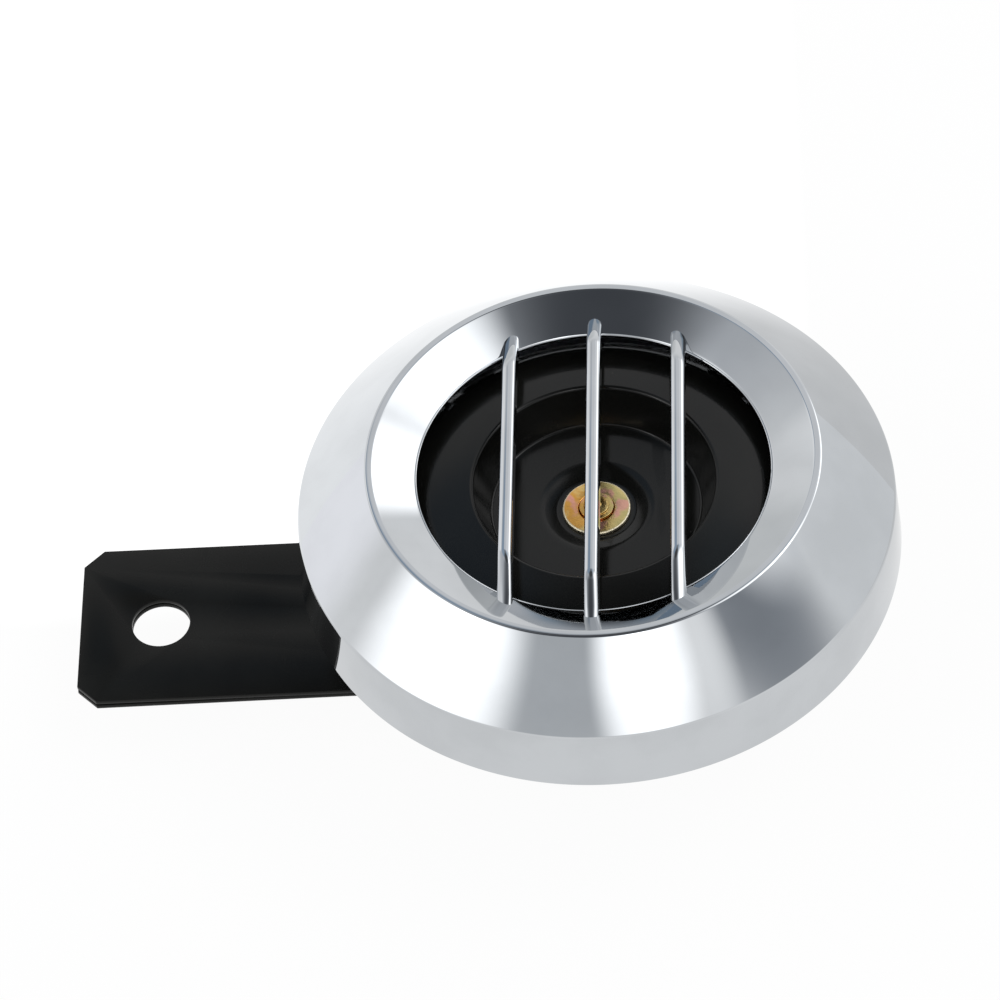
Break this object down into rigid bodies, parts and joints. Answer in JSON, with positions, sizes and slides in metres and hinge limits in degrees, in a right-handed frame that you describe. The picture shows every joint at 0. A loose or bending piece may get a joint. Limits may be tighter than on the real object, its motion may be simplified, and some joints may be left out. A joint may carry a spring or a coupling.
{
  "type": "car horn",
  "caption": "Electric disc horn with a domed chromed trim cover, grille bars over a black tone disc, and a flat two-leaf mounting bracket with a bolt hole.",
  "frame": {"origin": "on the axis of the horn, at the tip of the M6 stud behind it", "axes": "+Z along the axis of the horn, out of its face; -X along the mounting bracket to its free end; +Y along the grille bars"},
  "size_m": [0.127, 0.0914, 0.0464],
  "materials": {
    "cover_chrome": "chrome-plated ABS, mirror",
    "black_steel": "gloss black paint",
    "yellow_zinc": "yellow chromated zinc",
    "zinc_steel": "bright zinc plate",
    "spring_steel": "bare spring steel",
    "gasket_paper": "oiled paper",
    "black_plastic": "glass-filled nylon",
    "copper_wire": "enamelled copper",
    "phenolic": "hard paper",
    "spring_bronze": "rolled bronze",
    "contact_metal": "tungsten face",
    "brass": "turned",
    "tinned_brass": "tin plate",
    "ceramic": "fired ceramic"
  },
  "bodies": {
    "horn": {"trim_cover": "cover_chrome", "diaphragm": "spring_steel", "front_gasket": "gasket_paper", "rear_gasket": "gasket_paper", "clamp_ring": "zinc_steel", "housing": "black_steel", "pole_core": "zinc_steel", "coil_bobbin": "black_plastic", "coil_winding": "copper_wire", "mounting_nut": "zinc_steel", "spring_washer": "zinc_steel", "bracket_front_leaf": "black_steel", "bracket_rear_leaf": "black_steel", "breaker_post": "phenolic", "contact_spring": "spring_bronze", "fixed_contact_arm": "spring_bronze", "fixed_contact": "contact_metal", "breaker_insulators": "phenolic", "breaker_rivets": "zinc_steel", "adjuster_bush": "brass", "arc_resistor": "ceramic", "terminal_base": "black_plastic", "terminal_blade_a": "tinned_brass", "terminal_blade_b": "tinned_brass", "terminal_rivets": "brass", "terminal_washers": "phenolic"},
    "vibrator": {"armature": "yellow_zinc", "disc_spacer": "zinc_steel", "diaphragm_backing_washer": "zinc_steel", "resonator_disc": "black_steel", "front_washer": "yellow_zinc", "moving_contact": "contact_metal", "push_pin": "phenolic"},
    "adjuster": {"adjusting_screw": "zinc_steel"}
  },
  "joints": [
    {"name": "armature_stroke", "type": "slide", "parent": "horn", "child": "vibrator", "axis": [0, 0, 1], "range_m": [-0.0006, 0], "stiffness_N_per_m": 20000, "springref_m": 0.00002, "deforming": ["diaphragm", "contact_spring"]},
    {"name": "adjuster_turn", "type": "hinge", "parent": "horn", "child": "adjuster", "pos_m": [0.0116, 0.0204, 0], "axis": [0, 0, 1], "range_deg": [-180, 180]}
  ]
}
